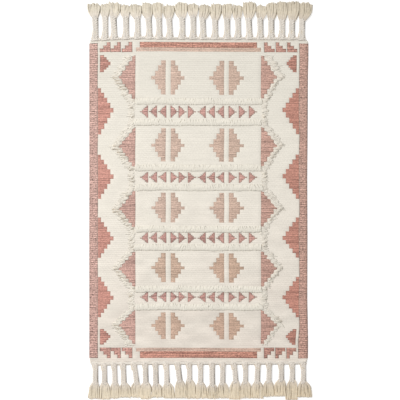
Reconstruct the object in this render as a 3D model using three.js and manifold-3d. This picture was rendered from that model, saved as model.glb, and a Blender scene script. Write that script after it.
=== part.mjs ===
// A hand-woven cotton kilim rug of 60 by 90 cm, lying flat: a ribbed ground cloth,
// zigzag and cross bands of knotted pile on it, and a row of tassels at each end.
// Millimetres. X runs across the rug, Y along it, and +Z is up from the floor.

import * as THREE from "three";
import { mergeVertices } from "three/addons/utils/BufferGeometryUtils.js";
import Module from "manifold-3d";

const wasm = await Module();
wasm.setup();

// The space left between pieces that touch on the real rug
const GAP = 0.3;

// Ground cloth
const CLOTH_WIDTH = 600;
const CLOTH_LENGTH = 882;
const CLOTH_THICKNESS = 4;
const RIB_COUNT = 160;
const RIB_DEPTH = 0.8;

// How far each selvedge stands out past half the width, by the height up from mid-length
const SELVEDGE = [
  { up: -441, left: -2.8, right: -2.2 },
  { up: -430, left: 0.4, right: 1.2 },
  { up: -375, left: 0.3, right: 0.8 },
  { up: -270, left: 0.3, right: 0.0 },
  { up: -100, left: 0.5, right: 0.5 },
  { up: 60, left: 0.1, right: 0.3 },
  { up: 240, left: 0.3, right: 0.9 },
  { up: 340, left: 0.4, right: 1.1 },
  { up: 390, left: 0.4, right: 3.0 },
  { up: 430, left: 0.2, right: 3.2 },
  { up: 441, left: -2.6, right: 1.9 },
];

// Zigzag bands of pile: each chevron stands round a stepped triangle, and a straight link
// joins it to the next. Distances from the rug's middle line.
const CHEVRONS = [
  { top: 397, tip: 338, bottom: 277 },
  { top: 200, tip: 150, bottom: 92 },
  { top: 26, tip: -22, bottom: -73 },
  { top: -140, tip: -186, bottom: -236 },
  { top: -301, tip: -340, bottom: -393 },
];
const ZIGZAG_INNER_BASE = 174;
const ZIGZAG_INNER_TIP = 217;
const ZIGZAG_OUTER_BASE = 194;
const ZIGZAG_OUTER_TIP = 238;
const ZIGZAG_END_SPREAD = 6;
const ZIGZAG_STEP = 12;

// Cross bands of pile, one above and one below each row of small triangles
const TRIANGLE_ROWS = [
  { row: 1, upperEdge: 263, lowerEdge: 205 },
  { row: 2, upperEdge: 81, lowerEdge: 27 },
  { row: 3, upperEdge: -87, lowerEdge: -137 },
  { row: 4, upperEdge: -251, lowerEdge: -300 },
];
const BAND_HALF_LENGTH = 172;
const BAND_WIDTH = 18;
const BAND_STEPS = 30;

// The pile's section, from the side where it is knotted in to the side where its ends lie
const PILE_SECTION = [
  { across: 0, height: 0 },
  { across: 0.08, height: 3.2 },
  { across: 0.5, height: 5.6 },
  { across: 0.92, height: 5 },
  { across: 1, height: 0 },
];
const PILE_LUMP = 0.16;
const PILE_LOCK_REACH = 1.6;

// Heading: the knotted strip from which the tassels of one end hang
const HEADING_WIDTH = 8;
const HEADING_HEIGHT = 5.5;
const KNOT_RISE = 1.5;
const KNOT_REACH = 1;
const HEADING_SECTION = [
  { out: 0, up: 0 },
  { out: 1, up: 0 },
  { out: 0.75, up: 1 },
  { out: 0.15, up: 0.85 },
];

// Tassels: a stalk of braided yarn, then a fan of loose locks that lie flat on the floor
const STALK_LENGTH = 45;
const STALK_HALF_WIDTH = 6.6;
const STALK_HEIGHT = 8.5;
const STALK_FLARE = 2.2;
const STALK_TWIST = 0.9;
const STALK_STEPS = 5;
const STALK_ROOT_BASE = 1;
const STALK_ROOT_HEIGHT = 4.6;
const LOCKS_PER_TASSEL = 5;
const LOCK_ROOT_PITCH = 2.2;
const LOCK_ROOT_HALF_WIDTH = 0.95;
const LOCK_ROOT_BASE = 1;
const LOCK_ROOT_HEIGHT = 4.8;
const LOCK_MID_HEIGHT = 6.5;
const LOCK_END_HEIGHT = 4.5;
const LOCK_ROOT_DEPTH = 3;
const LOCK_GAP = 0.8;
const LOCK_UNEVENNESS = 2;

// Where each tassel leaves the heading, where its stalk ends, the two sides of its fan,
// all from the rug's middle line, and how far it reaches out from the heading
const TOP_TASSELS = [
  { root: -283, neck: -283, left: -302, right: -270, length: 89 },
  { root: -256, neck: -256, left: -267, right: -244, length: 86 },
  { root: -231, neck: -233, left: -242, right: -214, length: 89 },
  { root: -199, neck: -199, left: -212, right: -188, length: 86 },
  { root: -167, neck: -168, left: -188, right: -157, length: 86 },
  { root: -135, neck: -137, left: -155, right: -126, length: 92 },
  { root: -108, neck: -109, left: -125, right: -100, length: 90 },
  { root: -79, neck: -81, left: -97, right: -67, length: 84 },
  { root: -45, neck: -45, left: -64, right: -31, length: 90 },
  { root: -15, neck: -15, left: -29, right: -1, length: 88 },
  { root: 12, neck: 11, left: 2, right: 32, length: 86 },
  { root: 45, neck: 45, left: 34, right: 63, length: 88 },
  { root: 78, neck: 78, left: 65, right: 91, length: 86 },
  { root: 108, neck: 107, left: 93, right: 119, length: 84 },
  { root: 139, neck: 137, left: 123, right: 156, length: 93 },
  { root: 169, neck: 169, left: 158, right: 188, length: 82 },
  { root: 199, neck: 199, left: 188, right: 215, length: 89 },
  { root: 228, neck: 229, left: 215, right: 245, length: 90 },
  { root: 255, neck: 256, left: 245, right: 276, length: 93 },
  { root: 282, neck: 284, left: 276, right: 311, length: 90 },
];
const BOTTOM_TASSELS = [
  { root: -283, neck: -282, left: -299, right: -271, length: 90 },
  { root: -259, neck: -257, left: -271, right: -242, length: 93 },
  { root: -231, neck: -229, left: -242, right: -216, length: 93 },
  { root: -207, neck: -204, left: -215, right: -186, length: 93 },
  { root: -177, neck: -169, left: -185, right: -159, length: 90 },
  { root: -146, neck: -144, left: -159, right: -129, length: 92 },
  { root: -118, neck: -116, left: -127, right: -99, length: 90 },
  { root: -89, neck: -86, left: -97, right: -67, length: 90 },
  { root: -57, neck: -51, left: -64, right: -35, length: 92 },
  { root: -26, neck: -25, left: -34, right: -7, length: 93 },
  { root: 5, neck: 5, left: -7, right: 19, length: 92 },
  { root: 37, neck: 38, left: 22, right: 54, length: 90 },
  { root: 66, neck: 66, left: 55, right: 84, length: 93 },
  { root: 97, neck: 102, left: 85, right: 114, length: 93 },
  { root: 128, neck: 128, left: 114, right: 144, length: 93 },
  { root: 162, neck: 161, left: 145, right: 177, length: 93 },
  { root: 193, neck: 192, left: 177, right: 206, length: 90 },
  { root: 226, neck: 227, left: 207, right: 239, length: 88 },
  { root: 256, neck: 257, left: 240, right: 270, length: 95 },
  { root: 286, neck: 287, left: 271, right: 310, length: 90 },
];

const { lerp } = THREE.MathUtils;
const point = (x, y, z) => new THREE.Vector3(x, y, z);

// Finishes: natural cotton, undyed and slightly uneven in tone
const clothFinish = new THREE.MeshStandardMaterial({ color: 0xe6dccf, roughness: 0.95, metalness: 0 });
const pileFinish = new THREE.MeshStandardMaterial({ color: 0xebe2d2, roughness: 1, metalness: 0 });
const fringeFinish = new THREE.MeshStandardMaterial({ color: 0xdcd0bc, roughness: 1, metalness: 0 });

// A steady wave between -1 and 1 that makes repeated forms a little uneven
function unevenness(index, seed) {
  return Math.sin(index * 2.4 + seed * 1.7) * Math.cos(index * 0.9 + seed);
}

// Six times the volume that a geometry encloses, negative when its faces point inwards
function signedVolume(geometry) {
  const positions = geometry.getAttribute("position");
  const index = geometry.getIndex().array;
  const corner = (place) => new THREE.Vector3().fromBufferAttribute(positions, index[place]);
  let total = 0;
  for (let face = 0; face < index.length; face += 3) {
    total += corner(face).dot(corner(face + 1).cross(corner(face + 2)));
  }
  return total;
}

// A closed solid through a row of rings, which all run round the same way
function loft(rings) {
  const sides = rings[0].length;
  const faces = [];
  for (let start = 0; start < (rings.length - 1) * sides; start += sides) {
    for (let side = 0; side < sides; side++) {
      const here = start + side;
      const next = start + ((side + 1) % sides);
      faces.push([here, next, next + sides], [here, next + sides, here + sides]);
    }
  }
  const last = (rings.length - 1) * sides;
  for (let side = 1; side + 1 < sides; side++) {
    faces.push([0, side + 1, side], [last, last + side, last + side + 1]);
  }
  const geometry = new THREE.BufferGeometry().setFromPoints(rings.flat());
  geometry.setIndex(faces.flat());
  if (signedVolume(geometry) < 0) {
    geometry.setIndex(faces.map((face) => face.reverse()).flat());
  }
  return geometry;
}

// A closed three.js geometry as a solid that can be joined to others
function solidOf(geometry) {
  const bare = geometry.clone();
  bare.deleteAttribute("normal");
  bare.deleteAttribute("uv");
  const merged = mergeVertices(bare, 1e-4);
  return new wasm.Manifold(
    new wasm.Mesh({
      numProp: 3,
      vertProperties: merged.getAttribute("position").array,
      triVerts: new Uint32Array(merged.getIndex().array),
    }),
  );
}

// Geometries that overlap or touch, joined into one closed geometry
function joined(geometries) {
  const whole = geometries.map(solidOf).reduce((sum, solid) => sum.add(solid));
  const mesh = whole.getMesh();
  const geometry = new THREE.BufferGeometry();
  geometry.setAttribute("position", new THREE.BufferAttribute(mesh.vertProperties, 3));
  geometry.setIndex(new THREE.BufferAttribute(mesh.triVerts, 1));
  return geometry;
}

function piece(name, geometry, material) {
  geometry.computeVertexNormals();
  const mesh = new THREE.Mesh(geometry, material);
  mesh.name = name;
  return mesh;
}

// How far a selvedge stands out at a height up the rug
function selvedge(side, up) {
  const above = SELVEDGE.findIndex((row) => row.up >= up);
  if (above <= 0) return SELVEDGE[0][side];
  const low = SELVEDGE[above - 1];
  const high = SELVEDGE[above];
  return lerp(low[side], high[side], (up - low.up) / (high.up - low.up));
}

// The ground cloth: a flat underside, a weft rib every few millimetres on top
function groundCloth() {
  const pitch = CLOTH_LENGTH / RIB_COUNT;
  const valley = CLOTH_THICKNESS - RIB_DEPTH;
  const outline = new THREE.Shape();
  outline.moveTo(CLOTH_LENGTH / 2, 0);
  outline.lineTo(CLOTH_LENGTH / 2, valley);
  for (let rib = RIB_COUNT - 1; rib >= 0; rib--) {
    const start = -CLOTH_LENGTH / 2 + rib * pitch;
    outline.lineTo(start + pitch / 2, CLOTH_THICKNESS);
    outline.lineTo(start, valley);
  }
  outline.lineTo(-CLOTH_LENGTH / 2, 0);
  const geometry = new THREE.ExtrudeGeometry(outline, {
    depth: CLOTH_WIDTH,
    steps: 1,
    bevelEnabled: false,
  });
  // The shape's two axes become Y and Z, and the way it is drawn out becomes X
  geometry.applyMatrix4(new THREE.Matrix4().makeBasis(point(0, 1, 0), point(0, 0, 1), point(1, 0, 0)));
  const positions = geometry.getAttribute("position");
  for (let index = 0; index < positions.count; index++) {
    const up = positions.getY(index);
    const onLeft = positions.getX(index) < CLOTH_WIDTH / 2;
    const half = CLOTH_WIDTH / 2 + selvedge(onLeft ? "left" : "right", up);
    positions.setX(index, onLeft ? -half : half);
  }
  return piece("ground_cloth", geometry, clothFinish);
}

// One ring of a pile band, from the line of its knots to the line of its loose ends.
// Its lower points lie just over the cloth. Locks of yarn jut out at every second ring.
function pileRing(knots, ends, index, seed) {
  const base = CLOTH_THICKNESS + GAP;
  const lump = 1 + PILE_LUMP * unevenness(index, seed);
  const width = knots.distanceTo(ends);
  const jut = (index % 2 ? PILE_LOCK_REACH : -PILE_LOCK_REACH) * (1 + 0.5 * unevenness(index, seed + 3));
  const edge = knots.clone().lerp(ends, 1 + jut / width);
  return PILE_SECTION.map(({ across, height }) => {
    const place = knots.clone().lerp(edge, across);
    return point(place.x, place.y, base + height * lump);
  });
}

// A cross band: knotted along its upper side, its yarn lying towards the rug's lower end
function crossBand(name, lowerEdge, seed) {
  const rings = [];
  for (let step = 0; step <= BAND_STEPS; step++) {
    const x = lerp(-BAND_HALF_LENGTH, BAND_HALF_LENGTH, step / BAND_STEPS);
    const wander = 0.7 * unevenness(step, seed + 5);
    const knots = point(x, lowerEdge + BAND_WIDTH + wander, 0);
    const ends = point(x, lowerEdge + wander, 0);
    rings.push(pileRing(knots, ends, step, seed));
  }
  return piece(name, loft(rings), pileFinish);
}

// The corners of a zigzag band from the top down: knots on its inner line, ends on its outer
function zigzagCorners(side) {
  return CHEVRONS.flatMap(({ top, tip, bottom }) => [
    {
      knots: point(side * ZIGZAG_INNER_BASE, top, 0),
      ends: point(side * ZIGZAG_OUTER_BASE, top + ZIGZAG_END_SPREAD, 0),
    },
    { knots: point(side * ZIGZAG_INNER_TIP, tip, 0), ends: point(side * ZIGZAG_OUTER_TIP, tip, 0) },
    {
      knots: point(side * ZIGZAG_INNER_BASE, bottom, 0),
      ends: point(side * ZIGZAG_OUTER_BASE, bottom - ZIGZAG_END_SPREAD, 0),
    },
  ]);
}

// A zigzag band down one side of the rug
function zigzagBand(name, side) {
  const corners = zigzagCorners(side);
  const rings = [];
  for (let leg = 0; leg + 1 < corners.length; leg++) {
    const from = corners[leg];
    const to = corners[leg + 1];
    const steps = Math.ceil(from.knots.distanceTo(to.knots) / ZIGZAG_STEP);
    for (let step = leg ? 1 : 0; step <= steps; step++) {
      const knots = from.knots.clone().lerp(to.knots, step / steps);
      const ends = from.ends.clone().lerp(to.ends, step / steps);
      rings.push(pileRing(knots, ends, rings.length, side));
    }
  }
  return piece(name, loft(rings), pileFinish);
}

// The knotted strip beside one end of the cloth, thicker where a tassel leaves it.
// "out" is measured from the cloth's end, and "end" is 1 at the top and -1 at the bottom.
function heading(tassels, end) {
  const clothEnd = CLOTH_LENGTH / 2 + GAP;
  const stations = [{ x: -CLOTH_WIDTH / 2, knot: -0.6 }];
  tassels.forEach(({ root }, index) => {
    if (index) stations.push({ x: (root + tassels[index - 1].root) / 2, knot: 0 });
    stations.push({ x: root, knot: 1 });
  });
  stations.push({ x: CLOTH_WIDTH / 2, knot: -0.6 });
  const rings = stations.map(({ x, knot }) => {
    const reach = HEADING_WIDTH + knot * KNOT_REACH;
    const height = HEADING_HEIGHT + knot * KNOT_RISE;
    return HEADING_SECTION.map(({ out, up }) => point(x, end * (clothEnd + out * reach), up * height));
  });
  return loft(rings);
}

// A tassel's stalk: braided yarn, its two sides swelling by turns, flared at its root
function stalk({ root, neck }, end) {
  const start = CLOTH_LENGTH / 2 + GAP + HEADING_WIDTH / 2;
  const finish = CLOTH_LENGTH / 2 + GAP + HEADING_WIDTH + STALK_LENGTH;
  const rings = [];
  for (let step = 0; step <= STALK_STEPS; step++) {
    const along = step / STALK_STEPS;
    const x = lerp(root, neck, along);
    const y = end * lerp(start, finish, along);
    const twist = step % 2 ? STALK_TWIST : -STALK_TWIST;
    const half = STALK_HALF_WIDTH + STALK_FLARE * Math.max(0, 1 - 3 * along);
    const base = step ? 0 : STALK_ROOT_BASE;
    const height = step ? STALK_HEIGHT - 0.5 * STALK_TWIST * (step % 2) : STALK_ROOT_HEIGHT;
    rings.push([
      point(x - half - twist, y, base),
      point(x + half - twist, y, base),
      point(x + 0.9 * half - twist, y, 0.6 * height),
      point(x + 0.4 * twist, y, height),
      point(x - 0.9 * half - twist, y, 0.6 * height),
    ]);
  }
  return loft(rings);
}

// One lock of a fan: three-sided, its flat side on the floor, bowed like the side of a bell
function lock({ neck, left, right, length }, number, end) {
  const clothEnd = CLOTH_LENGTH / 2 + GAP + HEADING_WIDTH;
  const pitch = (right - left) / LOCKS_PER_TASSEL;
  const rootX = neck + (number - (LOCKS_PER_TASSEL - 1) / 2) * LOCK_ROOT_PITCH;
  const tipX = left + (number + 0.5) * pitch;
  const reach = clothEnd + length - LOCK_UNEVENNESS * Math.abs(unevenness(number, left));
  const start = clothEnd + STALK_LENGTH - LOCK_ROOT_DEPTH;
  const stations = [
    { along: 0, spread: 0, half: LOCK_ROOT_HALF_WIDTH, base: LOCK_ROOT_BASE, height: LOCK_ROOT_HEIGHT },
    { along: 0.45, spread: 0.75, half: 0.42 * pitch - LOCK_GAP / 2, base: 0, height: LOCK_MID_HEIGHT },
    { along: 1, spread: 1, half: (pitch - LOCK_GAP) / 2, base: 0, height: LOCK_END_HEIGHT },
  ];
  return loft(
    stations.map(({ along, spread, half, base, height }) => {
      const x = lerp(rootX, tipX, spread);
      const y = end * lerp(start, reach, along);
      return [point(x - half, y, base), point(x + half, y, base), point(x, y, height)];
    }),
  );
}

// All the tassels of one end, fused to their heading
function fringe(name, tassels, end) {
  const parts = [heading(tassels, end)];
  tassels.forEach((tassel) => {
    parts.push(stalk(tassel, end));
    for (let number = 0; number < LOCKS_PER_TASSEL; number++) {
      parts.push(lock(tassel, number, end));
    }
  });
  return piece(name, joined(parts), fringeFinish);
}

const rug = new THREE.Group();
rug.add(groundCloth());
TRIANGLE_ROWS.forEach(({ row, upperEdge, lowerEdge }) => {
  rug.add(crossBand(`pile_band_${row}_upper`, upperEdge, 2 * row));
  rug.add(crossBand(`pile_band_${row}_lower`, lowerEdge, 2 * row + 1));
});
rug.add(zigzagBand("pile_zigzag_left", -1));
rug.add(zigzagBand("pile_zigzag_right", 1));
rug.add(fringe("fringe_top", TOP_TASSELS, 1));
rug.add(fringe("fringe_bottom", BOTTOM_TASSELS, -1));

// The fans reach a little further on one side, so the whole is centred by its own extent
const middle = new THREE.Box3().setFromObject(rug).getCenter(new THREE.Vector3());
rug.position.set(-middle.x, -middle.y, 0);

export default rug;
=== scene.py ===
"""A hand-woven cotton kilim rug as cloth and yarn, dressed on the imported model's frame.

The ground cloth is one sheet of weft ribs, and the colours of its wefts make the pattern. Tufts
of yarn lie on it as cross bands and zigzags, and each end carries a twined heading with twenty
braided tassels. Until a mesh is made, lengths are in millimetres from the middle of the cloth:
X to the right, Y up the rug, Z up from the floor. A side is -1 for the left and 1 for the right,
and an end is 1 for the top and -1 for the bottom.
"""

import bisect
import math
from collections import namedtuple

import bpy
import numpy as np
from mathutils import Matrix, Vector


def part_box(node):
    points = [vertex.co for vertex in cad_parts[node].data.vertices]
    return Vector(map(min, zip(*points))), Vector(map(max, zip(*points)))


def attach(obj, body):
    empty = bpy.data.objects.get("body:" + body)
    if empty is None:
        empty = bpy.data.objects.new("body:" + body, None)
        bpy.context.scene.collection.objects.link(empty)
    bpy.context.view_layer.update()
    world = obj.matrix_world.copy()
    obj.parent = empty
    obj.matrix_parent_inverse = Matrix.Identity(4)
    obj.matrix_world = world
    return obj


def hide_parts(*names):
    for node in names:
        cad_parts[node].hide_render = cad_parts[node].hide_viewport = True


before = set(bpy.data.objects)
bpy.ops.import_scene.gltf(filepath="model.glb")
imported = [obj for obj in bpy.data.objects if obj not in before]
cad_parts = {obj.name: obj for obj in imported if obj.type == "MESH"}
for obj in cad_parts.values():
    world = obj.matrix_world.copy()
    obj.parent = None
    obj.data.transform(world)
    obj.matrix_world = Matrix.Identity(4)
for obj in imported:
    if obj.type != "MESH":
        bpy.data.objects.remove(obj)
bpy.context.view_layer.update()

MM = 0.001

# The cloth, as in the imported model. The left reach is how far its left edge lies from its middle.
CLOTH_WIDTH = 600
CLOTH_LENGTH = 882
CLOTH_THICKNESS = 4
RIB_COUNT = 160
RIB_PITCH = CLOTH_LENGTH / RIB_COUNT
RIB_DEPTH = 0.5
LEFT_REACH = 300.5
cloth_low, cloth_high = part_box("ground_cloth")
ORIGIN = np.array([cloth_low.x + LEFT_REACH * MM, (cloth_low.y + cloth_high.y) / 2, 0.0])

# How far each selvedge stands out past half the width, by the height up from mid-length
SELVEDGE_UP = (-441, -430, -375, -270, -100, 60, 240, 340, 390, 430, 441)
SELVEDGE_LEFT = (-3.4, -0.8, -1, -1, -0.8, -1.2, -1, -0.9, -0.9, -1, -3.2)
SELVEDGE_RIGHT = (-2.5, -0.1, 0.1, -1.9, -1.4, -2.1, -0.7, -0.3, 1, 1.2, 0.3)

# How far the top end and the bottom end are drawn in, by the place across: first the cloth's own
# ends, then those of its design
ACROSS = (-300, -265, -240, -150, 0, 150, 240, 270, 300)
EDGE_SAGS = (
    (5.5, 4.5, 2.7, 0, 1.5, 1.8, 2.2, 2.6, 4.5),
    (-0.5, -2.2, -2, 0, 0, 0, 0.6, 1.2, 1.6),
)
DESIGN_SAGS = (
    (1.6, 0.4, 0, 0, 0.8, 1.4, 1.7, 1.7, 2.2),
    (0.2, -0.6, -0.3, -0.2, 0.4, -0.6, -1.8, -2, -1),
)
# How far the design's lower right corner is drawn in, the place across and the height at which
# that starts, and over what lengths it grows
CORNER_DRAW = 3
CORNER_DRAW_FROM = (150, -345)
CORNER_DRAW_OVER = (120, 40)

# The side borders: the heights of their ends, and how far out from the middle they start
BORDER_SPAN = (-432, 431)
BORDER_INNER = 276

# The weave of the sheet: each rib is cut into a few strips, and each strip into cells. Where two
# colours meet along a rib there is a slit, with a shoulder on each side.
STRIPS_PER_RIB = 4
COLUMN_PITCH = 10
SLIT_SHOULDER = 2
SLIT_DEPTH = 0.9
# How dark the painted shade of a slit is at a point where none, one or both of the strips beside it
# change colour
SLIT_SHADES = (0, 1, 0.6)
# How much painted shade, from 0 to 1, a point takes in a groove between two ribs and between two
# colours
RIB_GROOVE = 0.8
# How far in from a selvedge its extra columns of points lie, and how its edge is rounded off
EDGE_STEPS = (1, 3, 6)
EDGE_WIDTH = 4
EDGE_DROP = 2.3
UNDERSIDE_RISE = 0.8


def linear(red, green, blue):
    """A colour that is given from 0 to 255, as the shader takes it."""
    shares = [channel / 255 for channel in (red, green, blue)]
    return tuple(s / 12.92 if s <= 0.04045 else ((s + 0.055) / 1.055) ** 2.4 for s in shares)


# Yarns: colour, how much one weft differs in tone from the next, how flecked a weft is, and how
# dark the painted shade is in the slits beside it
Yarn = namedtuple("Yarn", "colour unevenness fleck slit")
CREAM = Yarn(linear(232, 226, 214), 0.012, 0.06, 0)
BRICK = Yarn(linear(206, 149, 135), 0.09, 0.5, 0.2)
BAR_BRICK = Yarn(linear(208, 151, 135), 0.15, 0.8, 0.2)
CORNER_BRICK = Yarn(linear(198, 144, 131), 0.09, 0.6, 0.3)
STAIR_PINK = Yarn(linear(207, 157, 145), 0.1, 0.75, 0.9)
ROSE = Yarn(linear(208, 167, 155), 0.11, 0.6, 0.25)
SMALL_ROSE = Yarn(linear(205, 158, 149), 0.13, 0.5, 1)
# A dark yarn that paints the shade at the small triangles' tips
ROSE_TIP_SHADE = Yarn(linear(188, 158, 146), 0.05, 0.4, 0.5)
BORDER_ROSE = Yarn(linear(216, 173, 162), 0.04, 0.95, 0.7)
BEIGE = Yarn(linear(214, 185, 169), 0.06, 0.45, 0.1)
LOWER_BEIGE = Yarn(linear(210, 180, 160), 0.06, 0.45, 0.1)
# The tones that wefts come in, in their unevenness, how often each comes, and the places across
# at which a weft can change from one to the next
WEFT_TONES = (-1.7, 0.2, 0.8)
WEFT_TONE_ODDS = (0.27, 0.4, 0.33)
WEFT_JOINS = (-BORDER_INNER, -225, -150, -60, 60, 150, 225, BORDER_INNER)
CELL_UNEVENNESS = 0.4
# By what share of red, green and blue the dyed wefts are paler on the left side, where the rug
# has faded, and deeper on the right
FADING = np.array([0.05, 0.07, 0.1])
# How much lighter the undyed wefts are than usual, by the height up from mid-length
CREAM_UP = (-441, -300, -190, -40, 160, 330, 441)
CREAM_LIGHTNESS = (0, 0.005, 0.03, 0.045, 0.03, -0.015, -0.035)

# The woven pattern. A stepped pattern has motifs, each given by the heights of its upper end, its
# tip and its lower end, the places of their bases and tips, the share of the way to the tip that
# each step reaches, a yarn, and the share of a motif's half height that its tip takes up.
Stepped = namedtuple("Stepped", "motifs sides reach yarn tip_share", defaults=[0.1])
FIVE_STEPS = (0.2, 0.4, 0.6, 0.8, 1)
PANEL_TRIANGLES = Stepped(
    [(397, 338, 277), (201, 150, 92), (26, -22, -73), (-140, -186, -236), (-301, -340, -393)],
    [(-173, -219), (171, 215)],
    FIVE_STEPS,
    ROSE,
)
SIDE_TRIANGLES = Stepped(
    [(308, 248, 180), (126, 65, 4), (-47, -103, -157), (-209, -266, -320)],
    [(-275.5, -232.5), (275.5, 230.5)],
    FIVE_STEPS,
    BRICK,
)
CORNER_TRIANGLES = Stepped(
    [(398, 376, 351), (-352, -372, -394)],
    [(-270, -241.5), (268.5, 241)],
    (0.38, 0.62, 0.8, 1),
    CORNER_BRICK,
    tip_share=0.2,
)
UPPER_DIAMONDS = Stepped(
    [(383, 336, 289), (197, 150, 106), (20, -21, -61)],
    [(-90, -129), (-76, -38.5), (70, 30), (83, 124)],
    (0.32, 0.53, 0.73, 1),
    BEIGE,
)
LOWER_DIAMONDS = UPPER_DIAMONDS._replace(
    motifs=[(-145, -185, -224), (-307, -343, -381)], yarn=LOWER_BEIGE
)
LARGE_TRIANGLES = [PANEL_TRIANGLES, SIDE_TRIANGLES, CORNER_TRIANGLES]
DIAMONDS = [UPPER_DIAMONDS, LOWER_DIAMONDS]

# The rows of small triangles, which point left and right, each with a thin dark tip of painted
# shade
TRIANGLE_WIDTH = 19
TRIANGLE_TIP = 2.8
LEFT_POINTING = [(base, base - TRIANGLE_WIDTH) for base in (-138, -113.5, -88, 20, 45, 70)]
RIGHT_POINTING = [(base, base + TRIANGLE_WIDTH) for base in (-76, -54, -28.5, 83, 111, 138.5)]
SMALL_TRIANGLES = Stepped(
    [(259, 243, 226), (77, 63, 48), (-88, -103, -117), (-251, -265, -278)],
    LEFT_POINTING + RIGHT_POINTING,
    FIVE_STEPS,
    SMALL_ROSE,
)

# The stairs in the corners, each from its upright to its foot, and from its highest step down
LEFT_STAIRS = [(-241, -270), (-213, -240), (-181.5, -210)]
RIGHT_STAIRS = [(180, 208.5), (211.8, 239.5), (243, 270)]
STAIR_STEPS = 3
STAIR_HEIGHTS = [(406.5, 434), (-403, -432)]

# The bars across both ends: their heights, how far they reach to each side, and their yarn
Bar = namedtuple("Bar", "low high reach yarn")
BARS = [
    Bar(419, 434, 160.5, BAR_BRICK),
    Bar(-432, -414, 160.5, BAR_BRICK),
    Bar(408, 419, 171, BEIGE),
    Bar(-414, -404, 171, BEIGE),
]


def wave(place, length, seed):
    """A smooth uneven wave between -1 and 1 along a place in millimetres."""
    turn = place * (2 * math.pi / length)
    return 0.6 * np.sin(turn + 1.7 * seed) + 0.4 * np.sin(1.83 * turn + 2.9 * seed)


def as_points(*coordinates):
    """Points from their coordinates, which are given apart."""
    return np.stack(np.broadcast_arrays(*coordinates), axis=-1)


def sag(x, end, sags):
    """How far one end of the cloth or of its design is drawn in at a place across it."""
    top, bottom = sags
    return np.where(end > 0, np.interp(x, ACROSS, top), np.interp(x, ACROSS, bottom))


def grown(distance, length):
    """How far something that grows over a length has grown at a distance, from 0 to 1."""
    return np.clip(distance / length, 0, 1)


def on_cloth(x, y):
    """Where a point of the even design lies on the real cloth, whose wefts and sides wander."""
    half_width, half_length = CLOTH_WIDTH / 2, CLOTH_LENGTH / 2
    outer = grown(np.abs(x) - BORDER_INNER, half_width - BORDER_INNER)
    left = np.interp(y, SELVEDGE_UP, SELVEDGE_LEFT)
    right = np.interp(y, SELVEDGE_UP, SELVEDGE_RIGHT)
    in_corner = grown(x - CORNER_DRAW_FROM[0], CORNER_DRAW_OVER[0])
    in_corner = in_corner * grown(CORNER_DRAW_FROM[1] - y, CORNER_DRAW_OVER[1])
    sway = 0.6 * wave(y, 190, 1) - CORNER_DRAW * in_corner
    moved_x = x + outer * np.where(x < 0, -left, right) + (1 - outer) * sway
    end = np.sign(y)
    in_hem = grown(np.abs(y) - BORDER_SPAN[1], half_length - BORDER_SPAN[1])
    drawn_in = sag(x, end, DESIGN_SAGS) * (1 - in_hem) + sag(x, end, EDGE_SAGS) * in_hem
    slack = 0.8 * wave(x, 310, 2) + 0.3 * wave(x + y, 70, 3)
    inside = np.clip(8 * (1 - np.abs(y) / half_length), 0, 1)
    towards_end = np.clip(2 * np.abs(y) / half_length - 1, 0, 1)
    return as_points(moved_x, y - end * drawn_in * towards_end + inside * slack)


def steps_crossed(y, motif, pattern):
    """How many steps of a motif a weft at height y crosses: all of them at its tip."""
    top, tip, bottom = motif
    away = abs(y - tip) / (top - tip if y > tip else tip - bottom)
    if away >= 1:
        return 0
    steps, tip_share = len(pattern.reach), pattern.tip_share
    return steps - math.ceil(max(0, away - tip_share) / (1 - tip_share) * (steps - 1))


def run(start, end, yarn):
    return (min(start, end), max(start, end), yarn)


def stepped_runs(y, pattern):
    """The wefts of a stepped pattern, each from its base towards its tip."""
    runs = []
    for motif in pattern.motifs:
        crossed = steps_crossed(y, motif, pattern)
        for base, tip in pattern.sides if crossed else ():
            runs.append(run(base, base + (tip - base) * pattern.reach[crossed - 1], pattern.yarn))
    return runs


def triangle_row_runs(y):
    """The wefts of the rows of small triangles, with their dark tips of painted shade."""
    pattern = SMALL_TRIANGLES
    runs = stepped_runs(y, pattern)
    if max(steps_crossed(y, motif, pattern) for motif in pattern.motifs) == len(pattern.reach):
        for base, tip in pattern.sides:
            runs.append(run(tip, tip + math.copysign(TRIANGLE_TIP, tip - base), ROSE_TIP_SHADE))
    return runs


def stair_runs(y):
    """The wefts of the stairs in the corners, three on each side of each end."""
    runs = []
    for low_end, high_end in STAIR_HEIGHTS:
        climbed = (y - low_end) / (high_end - low_end)
        if 0 <= climbed < 1:
            share = 1 - math.floor(climbed * STAIR_STEPS) / STAIR_STEPS
            for upright, foot in LEFT_STAIRS + RIGHT_STAIRS:
                runs.append(run(upright, upright + (foot - upright) * share, STAIR_PINK))
    return runs


def bar_runs(y):
    """The wefts of the bars across both ends, and of the two side borders."""
    runs = [run(-bar.reach, bar.reach, bar.yarn) for bar in BARS if bar.low <= y < bar.high]
    if BORDER_SPAN[0] <= y < BORDER_SPAN[1]:
        for side in (-1, 1):
            runs.append(run(side * BORDER_INNER, side * CLOTH_WIDTH / 2, BORDER_ROSE))
    return runs


def coloured_runs(y):
    """Every coloured run of the weft at height y. Between them the cloth is cream."""
    runs = bar_runs(y) + stair_runs(y)
    for pattern in LARGE_TRIANGLES + DIAMONDS:
        runs += stepped_runs(y, pattern)
    return runs + triangle_row_runs(y)


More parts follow.
